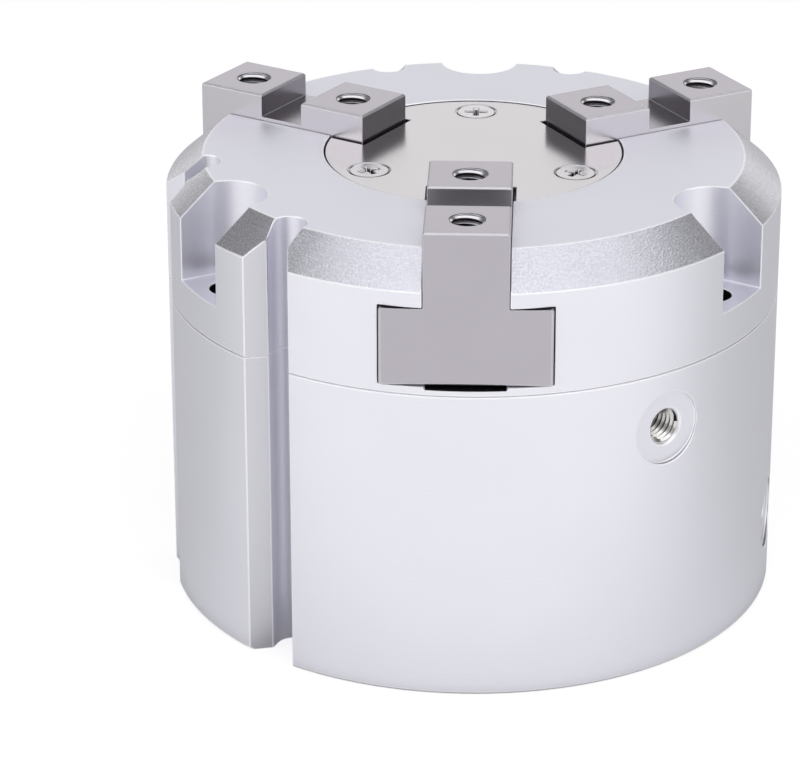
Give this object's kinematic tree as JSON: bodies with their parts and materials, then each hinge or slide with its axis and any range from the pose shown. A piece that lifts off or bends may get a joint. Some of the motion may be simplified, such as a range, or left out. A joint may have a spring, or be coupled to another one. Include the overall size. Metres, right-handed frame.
{
  "type": "three jaw pneumatic gripper",
  "caption": "Round pneumatic gripper whose jaws slide radially in T-slots, drawn by a piston and a wedge cam inside.",
  "frame": {"origin": "centre of the bottom mounting face", "axes": "+Z along the cylinder's axis towards the jaws; jaw 1 slides along -Y"},
  "size_m": [0.086, 0.086, 0.067],
  "materials": {
    "anodised": "satin hard anodised, machined edges bright",
    "cap": "turned and anodised",
    "piston_alloy": "turned",
    "plate": "brushed stainless",
    "small_screws": "bright, cross recessed",
    "jaw_steel": "ground hardened steel",
    "pin_steel": "ground",
    "black_steel": "black oxide",
    "spring_steel": "phosphated spring steel",
    "bush": "sintered bronze",
    "magnet": "bonded magnet, matt",
    "wear_band": "filled resin",
    "rubber": "matt nitrile rubber",
    "stop_rubber": "matt urethane"
  },
  "bodies": {
    "housing": {"upper_body": "anodised", "lower_body": "anodised", "cover_plate": "plate", "plate_screws": "small_screws", "body_screws": "black_steel", "screw_o_rings": "rubber", "dowel_pins": "pin_steel", "rod_bush": "bush", "rod_seal": "rubber", "upper_bumper": "stop_rubber", "end_cap": "cap", "lower_bumper": "stop_rubber", "cap_o_ring": "rubber", "retaining_ring": "spring_steel"},
    "piston_group": {"piston": "piston_alloy", "piston_seal": "rubber", "magnet_ring": "magnet", "wear_ring": "wear_band", "piston_rod": "pin_steel", "rod_o_ring": "rubber", "piston_screw": "black_steel", "wedge_cam": "jaw_steel", "cam_bolt": "black_steel"},
    "jaw_1": {"jaw_1": "jaw_steel"},
    "jaw_2": {"jaw_2": "jaw_steel"},
    "jaw_3": {"jaw_3": "jaw_steel"}
  },
  "joints": [
    {"name": "piston_slide", "type": "slide", "parent": "housing", "child": "piston_group", "axis": [0, 0, 1], "range_m": [0, 0.01]},
    {"name": "jaw_1_slide", "type": "slide", "parent": "housing", "child": "jaw_1", "axis": [0, -1, 0], "range_m": [0, 0.008]},
    {"name": "jaw_2_slide", "type": "slide", "parent": "housing", "child": "jaw_2", "axis": [0.866, 0.5, 0], "range_m": [0, 0.008]},
    {"name": "jaw_3_slide", "type": "slide", "parent": "housing", "child": "jaw_3", "axis": [-0.866, 0.5, 0], "range_m": [0, 0.008]}
  ],
  "couplings": [
    {"joint": "jaw_1_slide", "follows": "piston_slide", "ratio": 0.8},
    {"joint": "jaw_2_slide", "follows": "piston_slide", "ratio": 0.8},
    {"joint": "jaw_3_slide", "follows": "piston_slide", "ratio": 0.8}
  ]
}
